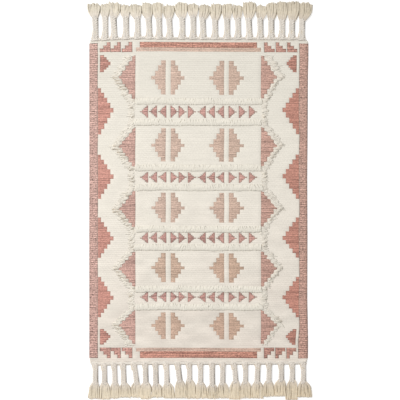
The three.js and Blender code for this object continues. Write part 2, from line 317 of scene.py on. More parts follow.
def cells_of(y):
    """A weft's cells from left to right: the places of their edges, each cell's yarn, and which
    edges are changes of colour."""
    half = CLOTH_WIDTH / 2
    runs = coloured_runs(y)
    changes = {place for start, end, _ in runs for place in (start, end) if abs(place) < half}
    edges = {-half, half} | changes
    for place in changes:
        edges |= {place - SLIT_SHOULDER, place + SLIT_SHOULDER}
    for step in EDGE_STEPS:
        edges |= {-half + step, half - step}
    columns = np.arange(-half + COLUMN_PITCH, half, COLUMN_PITCH)
    edges |= {c for c in columns if all(abs(c - place) > 2 * SLIT_SHOULDER for place in changes)}
    edges = sorted(round(float(place), 2) for place in edges if abs(place) <= half)
    yarns = []
    for start, end in zip(edges, edges[1:]):
        middle = (start + end) / 2
        yarns.append(next((yarn for a, b, yarn in runs if a < middle < b), CREAM))
    return edges, yarns, {round(float(place), 2) for place in changes}


class Sheet:
    """The points and faces of a woven sheet, gathered line by line."""

    def __init__(self):
        self.points = []
        self.faces = []
        self.yarns = []
        self.grooves = []
        self.slit_shades = []

    def add_line(self, places, y, height_of, beside):
        """One line of points across the cloth, between the cells of the strips beside it.
        Returns the points' places and numbers."""
        first = len(self.points)
        for x in places:
            meeting = sum(x in changes for _, _, changes in beside)
            height, groove = height_of(x, y, meeting > 0)
            if len({yarn_at(cells, x) for cells in beside}) > 1:
                groove = max(groove, RIB_GROOVE)
            slit = max(yarn.slit for cells in beside for yarn in yarns_beside(cells, x))
            self.points.append((x, y, height))
            self.grooves.append(groove)
            self.slit_shades.append(slit * SLIT_SHADES[meeting])
        return places, range(first, first + len(places))

    def add_strip(self, low, high, edges, yarns, facing_up):
        """The cells between two lines."""
        for start, end, yarn in zip(edges, edges[1:], yarns):
            face = between(low, start, end) + between(high, start, end)[::-1]
            self.add_face(face, yarn, facing_up)

    def add_face(self, face, yarn, as_given):
        """One face from the numbers of its points, in the order given or the other way round."""
        self.faces.append(face if as_given else face[::-1])
        self.yarns.append(yarn)


def yarn_at(cells, x):
    """The yarn of a strip at a place across it."""
    edges, yarns, _ = cells
    return yarns[min(bisect.bisect_right(edges, x), len(yarns)) - 1]


def yarns_beside(cells, x):
    """The yarns of a strip on both sides of a place across it."""
    edges, yarns, _ = cells
    before = yarns[max(bisect.bisect_left(edges, x), 1) - 1]
    return before, yarn_at(cells, x)


def between(line, start, end):
    """The numbers of a line's points from one place to another."""
    places, numbers = line
    return list(numbers[bisect.bisect_left(places, start) : bisect.bisect_right(places, end)])


def face_height(x, y, is_slit):
    """The height of the ribbed face, and how much painted shade the point takes, from 0 to 1: the
    deeper in a groove, in a slit or at a selvedge, the more.
    """
    rib = abs(math.sin(math.pi * (y + CLOTH_LENGTH / 2) / RIB_PITCH)) ** 0.7
    height = CLOTH_THICKNESS - RIB_DEPTH * (1 - rib) - (SLIT_DEPTH if is_slit else 0)
    height += 0.25 * wave(x, 83, 4) * wave(y, 61, 5) - EDGE_DROP * nearness_to_edge(x, y) ** 2
    selvedge = 1 - (CLOTH_WIDTH / 2 - abs(x)) / max(EDGE_STEPS)
    return height, max(RIB_GROOVE * (1 - rib), 1.0 if is_slit else 0, selvedge)


def underside_height(x, y, is_slit):
    # The underside takes full painted shade in a slit, and a little elsewhere
    return UNDERSIDE_RISE * nearness_to_edge(x, y) ** 2, 1.0 if is_slit else 0.2


def nearness_to_edge(x, y):
    """1 on the selvedges and the upper end, and 0 from EDGE_WIDTH inwards."""
    inset = min(CLOTH_WIDTH / 2 - abs(x), CLOTH_LENGTH / 2 - y, EDGE_WIDTH)
    return 1 - inset / EDGE_WIDTH


def woven_face(sheet, strips_per_rib, height_of, facing_up):
    """One face of the cloth, woven strip by strip. Returns its lines of points."""
    strips = RIB_COUNT * strips_per_rib
    heights = [CLOTH_LENGTH * (line / strips - 0.5) for line in range(strips + 1)]
    cells = [cells_of((low + high) / 2) for low, high in zip(heights, heights[1:])]
    lines = []
    for number, y in enumerate(heights):
        beside = cells[max(0, number - 1) : number + 1]
        places = sorted({place for edges, _, _ in beside for place in edges})
        lines.append(sheet.add_line(places, y, height_of, beside))
    for number, (edges, yarns, _) in enumerate(cells):
        sheet.add_strip(lines[number], lines[number + 1], edges, yarns, facing_up)
    return lines


def close_sides(sheet, face, underside):
    """The cloth's thickness along its two selvedges and its two ends."""
    for side in (0, -1):
        for rib in range(RIB_COUNT):
            upper = [face[rib * STRIPS_PER_RIB + n][1][side] for n in range(STRIPS_PER_RIB + 1)]
            lower = [underside[rib][1][side], underside[rib + 1][1][side]]
            middle = (rib + 0.5) * RIB_PITCH - CLOTH_LENGTH / 2
            in_border = BORDER_SPAN[0] <= middle < BORDER_SPAN[1]
            sheet.add_face(upper[::-1] + lower, BORDER_ROSE if in_border else CREAM, side == -1)
    for line in (0, -1):
        upper, lower = list(face[line][1]), list(underside[line][1])
        for column in range(len(upper) - 1):
            wall = [lower[column], lower[column + 1], upper[column + 1], upper[column]]
            sheet.add_face(wall, CREAM, line == 0)


def into_frame(points):
    """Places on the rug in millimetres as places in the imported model's frame, in metres."""
    return np.asarray(points, float) * MM + ORIGIN


def put_in_scene(name, data):
    made = bpy.data.objects.new(name, data)
    bpy.context.scene.collection.objects.link(made)
    return made


def mesh_object(name, points, faces, materials, material_of=None):
    """A smooth mesh. Each face is a list of point numbers, and has the number of its material."""
    mesh = bpy.data.meshes.new(name)
    mesh.from_pydata(into_frame(points), [], faces, shade_flat=False)
    for material in materials:
        mesh.materials.append(material)
    if material_of is not None:
        mesh.polygons.foreach_set("material_index", material_of)
    return put_in_scene(name, mesh)


def give(piece, domain, **tables):
    """Named attributes of a mesh, which its material reads: numbers, vectors or colours."""
    kinds = {1: ("FLOAT", "value"), 3: ("FLOAT_VECTOR", "vector"), 4: ("FLOAT_COLOR", "color")}
    for name, values in tables.items():
        values = np.asarray(values, np.float32)
        kind, field = kinds[values.size // len(values)]
        attribute = piece.data.attributes.new(name, kind, domain)
        attribute.data.foreach_set(field, values.ravel())


def weft_colours(yarns, corners):
    """The colour of each cell of the cloth, from its yarn and the place of its first corner."""
    rng = np.random.default_rng(11)
    x, y = corners.T
    spread = np.array([yarn.unevenness for yarn in yarns])
    weft = np.floor((y + CLOTH_LENGTH / 2) / (RIB_PITCH / 2) + 1e-6).astype(int)
    table = (len(WEFT_JOINS) + 1, weft.max() + 1)
    weft_tones = rng.choice(WEFT_TONES, table, p=WEFT_TONE_ODDS)[np.digitize(x, WEFT_JOINS), weft]
    tone = 1 + spread * (weft_tones + CELL_UNEVENNESS * rng.normal(size=len(weft)))
    dyed = np.array([yarn is not CREAM for yarn in yarns])
    fading = 1 - FADING * (dyed * x / (CLOTH_WIDTH / 2))[:, None]
    lightness = 1 + np.interp(y, CREAM_UP, CREAM_LIGHTNESS) * ~dyed
    colours = np.ones((len(yarns), 4))
    base = np.array([yarn.colour for yarn in yarns])
    colours[:, :3] = base * fading * (tone * lightness)[:, None]
    return colours


def weave_ground_cloth(material):
    """The ground cloth: a ribbed face, a flat underside and the thickness between them."""
    sheet = Sheet()
    face = woven_face(sheet, STRIPS_PER_RIB, face_height, True)
    underside = woven_face(sheet, 1, underside_height, False)
    close_sides(sheet, face, underside)
    points = np.array(sheet.points)
    colours = weft_colours(sheet.yarns, np.array([points[f[0]][:2] for f in sheet.faces]))
    points[:, :2] = on_cloth(points[:, 0], points[:, 1])
    cloth = mesh_object("kilim_ground_cloth", points, sheet.faces, [material])
    give(cloth, "FACE", yarn=colours, fleck=[yarn.fleck for yarn in sheet.yarns])
    give(cloth, "POINT", groove=sheet.grooves, slit=sheet.slit_shades)
    return cloth


class Strands:
    """Tubes of yarn gathered for one mesh, with what their material reads: how far along its
    strand a point is, which way round it lies, and the strand's tone: its own, and any painted
    shade."""

    def __init__(self):
        self.points = []
        self.faces = []
        self.materials = []
        self.along = []
        self.around = []
        self.tone = []
        self.count = 0

    def add(self, paths, radii, tones, sides=6, material=0, across=(1, 0, 0), flatness=1):
        """Closed tubes along one path or several of equal length. Radii and tones are one number
        for all, or fill a table of strands by stations. Across is the strands' sideways direction,
        or that of each strand."""
        stations = paths.shape[-2]
        paths = paths.reshape(-1, stations, 3)
        strands = len(paths)
        radii, tones = (np.broadcast_to(table, (strands, stations)) for table in (radii, tones))
        heading = np.gradient(paths, axis=1)
        heading /= np.linalg.norm(heading, axis=2, keepdims=True)
        across = np.broadcast_to(across, (strands, 3))[:, None]
        side = across - heading * np.sum(across * heading, axis=2, keepdims=True)
        side /= np.linalg.norm(side, axis=2, keepdims=True)
        rise = np.cross(side, heading)
        angle = np.arange(sides) * (2 * math.pi / sides)
        turn = as_points(np.cos(angle), np.sin(angle), 0)
        ring = turn[:, 0, None] * side[:, :, None]
        ring = ring + flatness * turn[:, 1, None] * rise[:, :, None]
        points = paths[:, :, None] + radii[:, :, None, None] * ring
        self.points.append(points.reshape(-1, 3))
        step = np.linalg.norm(np.diff(paths, axis=1), axis=2)
        along = np.concatenate([np.zeros((strands, 1)), np.cumsum(step, axis=1)], axis=1)
        self.along.append(np.repeat(along.ravel(), sides))
        self.around.append(np.tile(turn, (strands * stations, 1)))
        self.tone.append(np.repeat(tones.ravel(), sides))
        numbers = self.count + np.arange(along.size * sides).reshape(strands, stations, sides)
        here, there = numbers, np.roll(numbers, -1, axis=2)
        walls = np.stack([here[:, :-1], here[:, 1:], there[:, 1:], there[:, :-1]], axis=3)
        caps = np.stack([numbers[:, 0], numbers[:, -1, ::-1]], axis=1)
        faces = walls.reshape(-1, 4).tolist() + caps.reshape(-1, sides).tolist()
        self.faces += faces
        self.materials += [material] * len(faces)
        self.count += numbers.size

    def made_into(self, name, materials):
        points, along, around, tone = (
            np.concatenate(parts) for parts in (self.points, self.along, self.around, self.tone)
        )
        piece = mesh_object(name, points, self.faces, materials, self.materials)
        give(piece, "POINT", along=along, around=around, tone=tone)
        return piece


# How a tuft travels from its knot to its end, and how it grows out of the shade at its root. The
# tube of a loose yarn has five sides.
TUFT_TRAVEL = np.array([0, 0.07, 0.25, 0.5, 0.8, 1])
TUFT_DAYLIGHT = np.array([0, 0.4, 0.9, 1, 1, 1])
YARN_SIDES = 5

# How a kind of tuft lies: on its way, how far it is out of the cloth, how high it stands and how
# thick it is, and throughout, how flat it is
Habit = namedtuple("Habit", "footing rise thickness flatness")
BAND_TUFT = Habit(
    (-1, -0.3, 0.6, 1, 0.8, 0.2), (0, 0, 0.45, 1, 0.6, 0.05), (1, 1, 1.1, 1.1, 1, 0.6), 0.34
)
LOW_TUFT = Habit(
    (-1, -0.6, 0.1, 0.7, 0.2, -0.5), (0, 0, 0.3, 1, 0.4, 0), (1, 1, 1.1, 1, 0.7, 0.3), 0.2
)
FLAT_LOCK = Habit(
    (-1, 0, 0.8, 1, 1, 0.2), (0, 0, 0.5, 1, 0.8, 0.1), (0.7, 0.9, 1.1, 1.1, 1, 0.5), 0.4
)
BOLD_LOCK = Habit(
    (-1, 0, 0.8, 1, 1, 0.8), (0, 0, 0.2, 0.75, 1, 0.6), (0.6, 0.9, 1.1, 1.1, 1, 0.5), 0.7
)


def turned_left(directions):
    """Level directions, each turned a quarter to its left."""
    return as_points(-directions[:, 1], directions[:, 0])


def add_tufts(strands, habit, roots, directions, lengths, lifts, sways, radii, tones, shades=0):
    """Tufts that come up out of the cloth at their roots, bend over and lie along it."""
    count = len(roots)
    roots = on_cloth(roots[:, 0], roots[:, 1])
    sideways = turned_left(directions)
    forward = np.outer(lengths, TUFT_TRAVEL)[:, :, None]
    swing = np.outer(sways, TUFT_TRAVEL**2)[:, :, None]
    places = roots[:, None] + directions[:, None] * forward + sideways[:, None] * swing
    height = CLOTH_THICKNESS + np.outer(lifts, habit.rise)
    height = height + habit.flatness * np.outer(radii, habit.footing)
    in_shade = 1 - np.outer(np.broadcast_to(shades, count), 1 - TUFT_DAYLIGHT)
    strands.add(
        as_points(places[:, :, 0], places[:, :, 1], height),
        np.outer(radii, habit.thickness),
        tones.reshape(count, -1) * in_shade,
        YARN_SIDES,
        across=as_points(sideways[:, 0], sideways[:, 1], 0),
        flatness=habit.flatness,
    )


# The cross bands from the top of the rug down: the heights of their lower edges, and how high
# their tufts stand
BAND_LOWER_EDGES = [263, 205, 81, 27, -87, -137, -251, -300]
BAND_NAMES = [f"pile_band_{row}_{edge}" for row in (1, 2, 3, 4) for edge in ("upper", "lower")]
BAND_LIFTS = (1, 1.25, 1.4, 1.4, 1.6, 1.3, 1.8, 1.7)
BAND_REACH = 172
# How far above the lower edge each row of knots lies, how far it is shifted from the row before,
# and how much lower its tufts lie
BAND_KNOT_ROWS = (16.5, 11.5, 6.5)
BAND_ROW_SHIFT = 0.7
BAND_ROW_DROP = 0.4
BAND_TUFT_PITCH = 2.5
BAND_TUFT_RADIUS = 2.35


def knot_cross_band(name, lower_edge, seed, material):
    """A cross band of pile: rows of tufts, knotted side by side, that lie down the rug. They are
    combed this way and that, and end along a gently waving line."""
    rng = np.random.default_rng(100 + seed)
    strands = Strands()
    for number, row in enumerate(BAND_KNOT_ROWS):
        x = np.arange(-BAND_REACH + BAND_ROW_SHIFT * number, BAND_REACH, BAND_TUFT_PITCH)
        count = len(x)
        x = x + rng.normal(0, 0.3, count)
        edge = 0.9 * wave(x, 150, seed) + 0.5 * wave(x, 47, seed + 2)
        y = lower_edge + row + 0.5 * edge + rng.normal(0, 0.9, count)
        lean = 0.6 * wave(x, 110, seed + 7) + rng.normal(0, 0.07, count)
        reach = (y - lower_edge - edge) / np.cos(lean)
        add_tufts(
            strands,
            BAND_TUFT,
            roots=as_points(x, y),
            directions=as_points(np.sin(lean), -np.cos(lean)),
            lengths=reach + rng.normal(0, 0.6, count),
            lifts=BAND_LIFTS[seed] - BAND_ROW_DROP * number + rng.normal(0, 0.04, count),
            sways=rng.normal(0, 0.7, count),
            radii=rng.normal(BAND_TUFT_RADIUS, 0.1, count),
            tones=rng.normal(1, 0.012, count),
        )
    band = strands.made_into(name.replace("pile_band", "pile_tufts"), [material])
    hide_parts(name)
    return band


# How the pile of a zigzag's leg lies: by what angle its yarn falls below level, and what share
# of its locks stand out boldly
Lie = namedtuple("Lie", "fall boldness")
UPPER_LIE = Lie(math.radians(16), 0.08)
LOWER_LIE = Lie(math.radians(16), 0.12)
LINK_LIE = Lie(math.radians(8), 0.35)
FLAT_LIE = Lie(math.radians(16), 0)
# A zigzag's leg: the heights of its ends, how its pile lies, and how far its pile reaches as a
# share of the upper legs' reach, which goes by the side of the rug for the lower legs
Leg = namedtuple("Leg", "top bottom lie reach")
LOWER_REACH = {-1: 0.85, 1: 0.65}
LINK_REACH = 0.75
LAST_REACH = 0.5

# The low pile of a zigzag: how far out from its innermost knots each row of knots lies, how long
# the tufts are by that innermost place, and how far the knots step in and out by groups
ZIGZAG_KNOT_ROWS = (1.5, 5.5, 9.5)
ZIGZAG_TUFT_PITCH = 2.2
ZIGZAG_TUFT_RADIUS = 2.2
LOW_TUFTS_ACROSS = (175, 215)
LOW_TUFT_LENGTHS = (14, 9)
KNOTS_PER_GROUP = 3
GROUP_SHIFTS = (-1.5, 3.5)

# The longer locks that lie on the low pile, and how high the flat and the bold ones stand
LOCK_PITCH = 12
LOCK_LENGTH = 16
YARNS_PER_LOCK = 3
YARN_SPACING = 1.6
LOCK_YARN_RADIUS = 1.4
FLAT_LOCK_LIFT = 0.3
BOLD_LOCK_LIFT = 2.4
# How dark the painted shade of a lock's lowest yarn is in its outer part, for bold ones by the
# rug's side
FLAT_LOCK_SHADE = 0.96
BOLD_LOCK_SHADES = {-1: 0.74, 1: 0.86}
LOCK_SHADE_ALONG = np.array([0, 0, 0.15, 0.8, 1, 1])
# The locks at the chevrons' tips: their number, pitch and length, how far out the first one's
# root lies, how much less far one at the leg's other end would, and how high they stand
TIP_LOCKS = 5
TIP_LOCK_PITCH = 8
TIP_LOCK_LENGTH = 17
TIP_LOCK_REACH = 217
TIP_LOCK_RETREAT = 44
TIP_LOCK_LIFTS = {-1: 1.7, 1: 0.8}


def zigzag_legs(side):
    """The legs of a zigzag from the top of the rug down. The last one on the right lies flat."""
    legs = []
    for top, tip, bottom in PANEL_TRIANGLES.motifs:
        if legs:
            legs.append(Leg(legs[-1].bottom, top, LINK_LIE, LINK_REACH))
        legs.append(Leg(top, tip, UPPER_LIE, 1))
        legs.append(Leg(tip, bottom, LOWER_LIE, LOWER_REACH[side]))
    if side > 0:
        legs[-1] = legs[-1]._replace(lie=FLAT_LIE, reach=LAST_REACH)
    return legs


def knot_line(heights, side):
    """Where a zigzag's innermost knots lie: along the stepped edges of the panels' triangles."""
    base, tip = PANEL_TRIANGLES.sides[side > 0]
    shares = np.array([0, *PANEL_TRIANGLES.reach])
    motifs = PANEL_TRIANGLES.motifs
    crossed = [max(steps_crossed(y, motif, PANEL_TRIANGLES) for motif in motifs) for y in heights]
    return base + (tip - base) * shares[crossed]


def falling(side, angles):
    """Directions outwards from the rug's middle, by how far they fall below level."""
    return as_points(side * np.cos(angles), -np.sin(angles))


def add_low_pile(strands, leg, side, rng):
    """The soft low pile of a leg, which the longer locks lie on."""
    count = round((leg.top - leg.bottom) / ZIGZAG_TUFT_PITCH)
    for number, row in enumerate(ZIGZAG_KNOT_ROWS):
        y = np.linspace(leg.top, leg.bottom, count) + rng.normal(0, 0.7, count)
        edge = knot_line(y, side)
        shifts = rng.uniform(*GROUP_SHIFTS, count // KNOTS_PER_GROUP + 1)
        out = row + np.repeat(shifts, KNOTS_PER_GROUP)[:count]
        x = edge + side * leg.reach * out + rng.normal(0, 0.7, count)
        lengths = np.interp(np.abs(edge), LOW_TUFTS_ACROSS, LOW_TUFT_LENGTHS)
        lengths = leg.reach * (lengths + rng.normal(0, 3, count))
        add_tufts(
            strands,
            LOW_TUFT,
            roots=as_points(x, y),
            directions=falling(side, leg.lie.fall + rng.normal(0, 0.16, count)),
            lengths=lengths,
            lifts=0.35 - 0.1 * number + rng.normal(0, 0.05, count),
            sways=rng.normal(0, 1, count),
            radii=rng.normal(ZIGZAG_TUFT_RADIUS, 0.2, count),
            tones=rng.normal(1, 0.02, count),
        )


def add_locks(strands, habit, places, angles, lengths, lifts, side, rng):
    """Longer locks of a few yarns each, of which the lowest lies in the shade of the others."""
    count = len(places)
    lowest = FLAT_LOCK_SHADE if habit is FLAT_LOCK else BOLD_LOCK_SHADES[side]
    sways = rng.normal(0.5 * side, 1.6, count)
    lock_tones = rng.normal(0.99, 0.015, count)
    for yarn in range(YARNS_PER_LOCK):
        up = (yarn - (YARNS_PER_LOCK - 1) / 2) * YARN_SPACING
        directions = falling(side, angles - 0.03 * up + rng.normal(0, 0.03, count))
        roots = places + turned_left(directions) * (side * up)
        shade = 1 if yarn else 1 - (1 - lowest) * LOCK_SHADE_ALONG
        add_tufts(
            strands,
            habit,
            roots=roots,
            directions=directions,
            lengths=lengths + rng.normal(0, 1.4, count),
            lifts=lifts * rng.normal(1, 0.08, count) * (1 if yarn else 0.5),
            sways=sways + rng.normal(0, 0.5, count),
            radii=rng.normal(LOCK_YARN_RADIUS, 0.12, count),
            tones=(lock_tones * rng.normal(1, 0.02, count))[:, None] * shade,
            shades=rng.choice([0.05, 0.5], count, p=[0.85, 0.15]),
        )


def add_leg_locks(strands, leg, side, rng):
    """Locks one under the other down a leg. The bold ones stand up."""
    count = max(2, round((leg.top - leg.bottom) / LOCK_PITCH))
    y = np.linspace(leg.top, leg.bottom, 2 * count + 1)[1::2] + rng.normal(0, 2, count)
    places = as_points(knot_line(y, side) + side * 3 + rng.normal(0, 2, count), y)
    angles = 0.6 * leg.lie.fall + rng.normal(0, 0.15, count)
    lengths = leg.reach * rng.normal(LOCK_LENGTH, 3, count)
    bold = rng.random(count) < leg.lie.boldness
    kinds = (FLAT_LOCK, FLAT_LOCK_LIFT, ~bold), (BOLD_LOCK, BOLD_LOCK_LIFT, bold)
    for habit, lift, chosen in kinds:
        if chosen.any():
            kept = places[chosen], angles[chosen], lengths[chosen]
            add_locks(strands, habit, *kept, lift * rng.uniform(0.8, 1.2, chosen.sum()), side, rng)


def add_tip_locks(strands, leg, side, rng):
    """Bold locks that lie level, one under the other, from a chevron's tip down its lower leg."""
    y = leg.top + 1 - TIP_LOCK_PITCH * np.arange(TIP_LOCKS)
    share = (leg.top - y) / (leg.top - leg.bottom)
    out = TIP_LOCK_REACH - TIP_LOCK_RETREAT * np.abs(share)
    places = as_points(side * out + rng.normal(0, 0.8, TIP_LOCKS), y)
    angles = rng.normal(0.02, 0.05, TIP_LOCKS)
    lengths = rng.normal(TIP_LOCK_LENGTH, 1.5, TIP_LOCKS)
    lengths = lengths * (1 - 2 * (1 - leg.reach) * np.clip(share, 0, 1))
    lifts = TIP_LOCK_LIFTS[side] * rng.uniform(0.75, 1.25, TIP_LOCKS)
    add_locks(strands, BOLD_LOCK, places, angles, lengths, lifts, side, rng)


def knot_zigzag(name, side, material):
    """A zigzag band of loose pile, whose yarn falls outwards and down the rug."""
    rng = np.random.default_rng(200 + side)
    strands = Strands()
    for leg in zigzag_legs(side):
        add_low_pile(strands, leg, side, rng)
        add_leg_locks(strands, leg, side, rng)
        if leg.lie is LOWER_LIE:
            add_tip_locks(strands, leg, side, rng)
    band = strands.made_into(name.replace("pile_", "pile_tufts_"), [material])
    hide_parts(name)
    return band


# The headings lie just beyond the cloth's ends, and the tassels hang from them
HEADING_EDGE = CLOTH_LENGTH / 2 + 0.3
HEADING_WIDTH = 8
HEADING_REACH = 298
TASSEL_BASE = HEADING_EDGE + HEADING_WIDTH

# A heading's cords, each of two plies: how far out a cord lies from the cloth, how thick its plies
# are, how high it lies, how often it turns and how light it is. A thin dark one is painted shade:
# it lies beside the cloth at the top end, and outside the heading at the bottom end, where the
# heading's shadow falls.
Cord = namedtuple("Cord", "out radius height period tone")
TOP_CORDS = (Cord(1.5, 1.1, 2.2, 9, 0.84), Cord(5.1, 2, 3.8, 12, 1))
BOTTOM_CORDS = (
    Cord(1.8, 1.7, 3.2, 10, 1),
    Cord(5.1, 1.8, 3.6, 12, 1),
    Cord(8, 0.9, 1.5, 8, 0.83),
)
CORD_STATIONS = 320
# How far the cords are drawn up at a tassel's root, and how far to each side of it
SCALLOP_DEPTH = 1.6
SCALLOP_REACH = 11
# The hitches over a tassel's root: how far out they lie, how far to each side they reach, and
# how thick they are
HITCHES_OUT = (2.6, 6.2)
HITCH_REACH = 8
HITCH_RADIUS = 1.6

# A tassel by its places across the rug, its length, and how far past the usual place it opens
Tassel = namedtuple("Tassel", "root neck left right length later")
TOP_TASSELS = [
    (-283, -283, -302, -270, 89.3, 5), (-256, -256, -267, -244, 87.5, 4),
    (-231, -233, -242, -214, 91, 4), (-199, -199, -212, -188, 84.5, 4),
    (-167, -168, -188, -157, 86, 3), (-135, -137, -155, -126, 90, 1),
    (-108, -109, -125, -100, 91, 1), (-79, -81, -97, -67, 83.5, 0),
    (-45, -45, -64, -31, 91, 2), (-15, -15, -29, -1, 87.5, 6),
    (12, 11, 2, 32, 85, 1), (45, 45, 34, 63, 87.5, -4),
    (78, 78, 65, 91, 87.5, 0), (108, 107, 93, 119, 84.5, 0),
    (139, 137, 123, 156, 93, 0), (169, 169, 158, 188, 83.5, 0),
    (199, 199, 188, 215, 91, -1), (228, 229, 215, 245, 94, -4),
    (255, 256, 245, 276, 94.5, -5), (282, 284, 276, 311, 90.8, -3),
]
BOTTOM_TASSELS = [
    (-283, -282, -299, -271, 93.8, 3), (-259, -257, -271, -242, 95, 3),
    (-231, -229, -242, -216, 92.5, 4), (-207, -204, -215, -186, 90, 5),
    (-177, -169, -185, -159, 90, 3), (-146, -144, -159, -129, 94, 3),
    (-118, -116, -127, -99, 90, 6), (-89, -86, -97, -67, 92, 4),
    (-57, -51, -64, -35, 92, -3), (-26, -25, -34, -7, 93, -5),
    (5, 5, -7, 19, 92.5, 3), (37, 38, 22, 54, 93, 9),
    (66, 66, 55, 84, 91.5, 4), (97, 102, 85, 114, 95, -1),
    (128, 128, 114, 144, 92, 1), (162, 161, 145, 177, 92.5, 1),
    (193, 192, 177, 206, 88, -1), (226, 227, 207, 239, 87, -5),
    (256, 257, 240, 270, 97, -4), (286, 287, 271, 310, 89.6, 0),
]

# The braid of a tassel's stalk, and the yarns that run into it from the heading: how far to each
# side of the braid they reach, and how much farther at their roots
BRAID_STRANDS = 3
BRAID_RISE = 1.2
BRAID_STRAND_RADIUS = 3.1
BRAID_PERIOD = 19
ROOT_YARNS = 9
ROOT_YARN_RADIUS = 1.5
ROOT_MARGIN = 0.7
ROOT_SPREAD = 4.3

# A tassel's fan, and the tassel whose fan has a stray lock at its side
FAN_YARNS = 52
FAN_LAYERS = 3
FAN_NECK_HALF_WIDTH = 6.6
FAN_STATIONS = np.array([0, 0.1, 0.22, 0.35, 0.48, 0.61, 0.74, 0.86, 0.96, 1])
FANS_ACROSS = (-290, -170, -60, 60, 160, 290)
# How thick the strand of painted shade down each tassel's right side is
SHADE_STRAND_RADIUS = 1.3
STRAY_LOCK_TASSEL = 2
STRAY_LOCK_YARNS = 4

# How the tassels of one end are cut and lie. The flare is the share of the opening that a fan
# makes as a curve, and the quicker that curve, the sooner the fan's sides run straight. A fan is
# as light as the fans are at its place across the rug, and its yarns change in tone along it,
# with painted shade at the neck and at the tips.
Cut = namedtuple(
    "Cut",
    "stalk_length braid_half_width root_length quickness flare rounding raggedness light tones",
)
TOP_CUT = Cut(
    stalk_length=47.5,
    braid_half_width=5.5,
    root_length=20,
    quickness=1.45,
    flare=0.9,
    rounding=4,
    raggedness=1.9,
    light=(0.98, 1.02, 1, 1.02, 0.98, 0.96),
    tones=(0.9, 0.95, 1, 1.04, 1.04, 1, 0.97, 0.94, 0.91, 0.88),
)
BOTTOM_CUT = Cut(
    stalk_length=49,
    braid_half_width=4.5,
    root_length=15,
    quickness=2.6,
    flare=0.78,
    rounding=0,
    raggedness=0.8,
    light=(1.02, 1.07, 1.05, 1.05, 1.03, 1),
    tones=(0.94, 0.97, 0.98, 0.97, 0.96, 0.97, 1, 1.04, 1.04, 0.8),
)

# The places of a fringe's three materials in their list
HEADING, STALK, FAN = range(3)


def add_heading(strands, tassels, end, cords):
    """The heading: cords twined round each other, and a hitch of yarn over each tassel."""
    up_the_rug = (0, 1, 0)
    roots = [tassel.root for tassel in tassels]
    for cord in cords:
        x = np.linspace(cord.out - HEADING_REACH, HEADING_REACH - cord.out, CORD_STATIONS)
        to_root = np.min(np.abs(x[:, None] - roots), axis=1)
        scallop = SCALLOP_DEPTH * np.clip(1 - (to_root / SCALLOP_REACH) ** 2, 0, 1)
        for ply in (0, math.pi):
            turn = 2 * math.pi * x / cord.period + ply + cord.out
            out = cord.out + cord.radius * (0.6 * np.sin(turn) + 0.4 * wave(x, 140, cord.out))
            y = end * (HEADING_EDGE + out - scallop - sag(x, end, EDGE_SAGS))
            z = cord.height + 0.5 * cord.radius * np.cos(turn)
            strands.add(as_points(x, y, z), cord.radius, cord.tone, across=up_the_rug)
    arc = np.linspace(-0.2, math.pi + 0.2, 9)
    for root in roots:
        for out in HITCHES_OUT:
            x = root + HITCH_REACH * np.cos(arc)
            y = end * (HEADING_EDGE + out - sag(root, end, EDGE_SAGS) + 0.6 * np.cos(arc))
            z = 1.4 + 4.6 * np.sin(arc)
            strands.add(as_points(x, y, z), HITCH_RADIUS, 0.98, across=up_the_rug)


def add_stalk(strands, tassel, end, cut, rng):
    """A tassel's stalk: a braid of three thick strands, gathered out of the heading's yarns."""
    drawn_in = sag(tassel.root, end, EDGE_SAGS)
    stalk_length = cut.stalk_length + tassel.later
    along = np.linspace(-3 - drawn_in, stalk_length + 3, 34)
    share = along / stalk_length
    middle = tassel.root + (tassel.neck - tassel.root) * share
    middle = middle + 0.9 * np.sin(math.pi * share + rng.uniform(0, 3))
    strand = np.arange(BRAID_STRANDS)[:, None]
    turn = 2 * math.pi * (along / BRAID_PERIOD + strand / BRAID_STRANDS)
    turn = turn + rng.uniform(0, 2 * math.pi)
    x = middle + cut.braid_half_width * np.sin(turn)
    z = BRAID_STRAND_RADIUS + BRAID_RISE * (1 + np.sin(2 * turn))
    paths = as_points(x, end * (TASSEL_BASE + along), z)
    strands.add(paths, BRAID_STRAND_RADIUS, rng.normal(1, 0.02), sides=8, material=STALK)
    order = np.linspace(-1, 1, ROOT_YARNS)[:, None]
    out = np.linspace(0, 1, 7)
    x = tassel.root + order * (cut.braid_half_width + ROOT_MARGIN + ROOT_SPREAD * (1 - out) ** 1.8)
    y = end * (TASSEL_BASE - drawn_in - 3 + (cut.root_length + 3) * out)
    z = 2.2 + 3.6 * np.sin(math.pi * 0.62 * out) * (1.25 - 0.5 * order**2)
    strands.add(as_points(x, y, z), ROOT_YARN_RADIUS * (1 - 0.4 * out**4), 1, material=FAN)


def fan_opening(cut, along):
    """How far a fan has opened, from 0 at its neck to 1 at its tips."""
    curve = np.sin(0.5 * math.pi * np.clip(along * cut.quickness, 0, 1))
    return cut.flare * curve + (1 - cut.flare) * along


